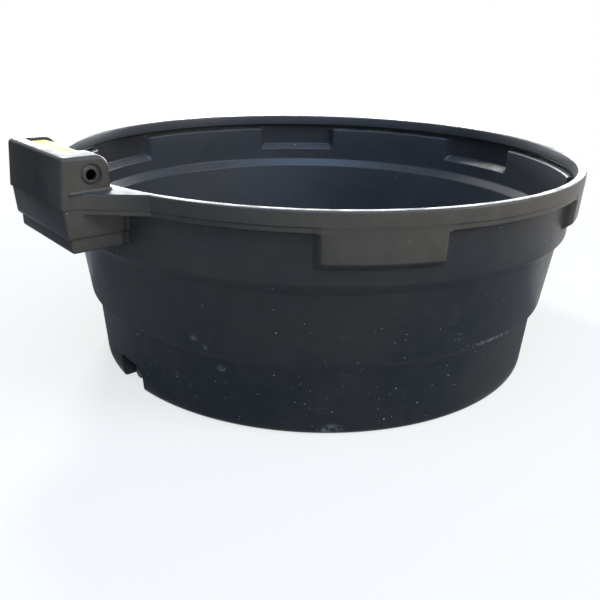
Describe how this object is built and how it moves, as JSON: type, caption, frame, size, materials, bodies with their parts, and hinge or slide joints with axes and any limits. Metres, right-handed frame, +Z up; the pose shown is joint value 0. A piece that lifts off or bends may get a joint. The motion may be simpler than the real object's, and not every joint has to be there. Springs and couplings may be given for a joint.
{
  "type": "cattle water trough",
  "caption": "Round stepped plastic cattle trough with an overhanging rim, a moulded-on float valve box with a hinged amber lid, and a drain bung in a notch at its foot.",
  "frame": {"origin": "centre of the tub's round base, on the ground", "axes": "+Z up; the valve box is on -X and its threaded inlet points to +Y"},
  "size_m": [1.928, 1.8, 0.786],
  "materials": {
    "black_polyethylene": "satin rotomoulded polyethylene with dust and scuffs",
    "amber_plastic": "smooth moulded amber plastic",
    "brass": "cast and turned",
    "stainless_steel": "turned",
    "seal_rubber": "moulded",
    "grey_nylon": "moulded",
    "float_plastic": "moulded"
  },
  "bodies": {
    "tub": {"trough_shell": "black_polyethylene", "lid_hinge_pin": "stainless_steel", "hinge_clip_near": "stainless_steel", "hinge_clip_far": "stainless_steel", "valve_body": "brass", "valve_inner_washer": "seal_rubber", "valve_outer_washer": "seal_rubber", "valve_back_nut": "brass", "valve_seat": "grey_nylon", "valve_end_cap": "brass", "lever_pin": "stainless_steel", "lever_pin_clip": "stainless_steel", "drain_bush": "grey_nylon", "drain_gasket": "seal_rubber", "drain_back_nut": "grey_nylon"},
    "lid": {"service_lid": "amber_plastic"},
    "float_arm": {"float_lever": "brass", "float_rod": "stainless_steel", "rod_lock_nut": "stainless_steel", "float_lock_nut": "stainless_steel", "float_ball": "float_plastic"},
    "piston": {"valve_piston": "brass", "piston_washer": "seal_rubber"},
    "plug": {"drain_plug": "black_polyethylene", "drain_plug_ring": "seal_rubber"}
  },
  "joints": [
    {"name": "lid_hinge", "type": "hinge", "parent": "tub", "child": "lid", "pos_m": [-0.9045, 0, 0.738], "axis": [0, 1, 0], "range_deg": [0, 105]},
    {"name": "float_swing", "type": "hinge", "parent": "tub", "child": "float_arm", "pos_m": [-0.942, 0.12599, 0.712], "axis": [-1, 0, 0], "range_deg": [0, 17]},
    {"name": "piston_slide", "type": "slide", "parent": "tub", "child": "piston", "axis": [0, 1, 0], "range_m": [0, 0.0078]},
    {"name": "plug_pull", "type": "slide", "parent": "tub", "child": "plug", "axis": [-1, 0, 0], "range_m": [0, 0.06]}
  ],
  "couplings": [
    {"joint": "piston_slide", "follows": "float_swing", "m_per_rad": 0.026}
  ]
}
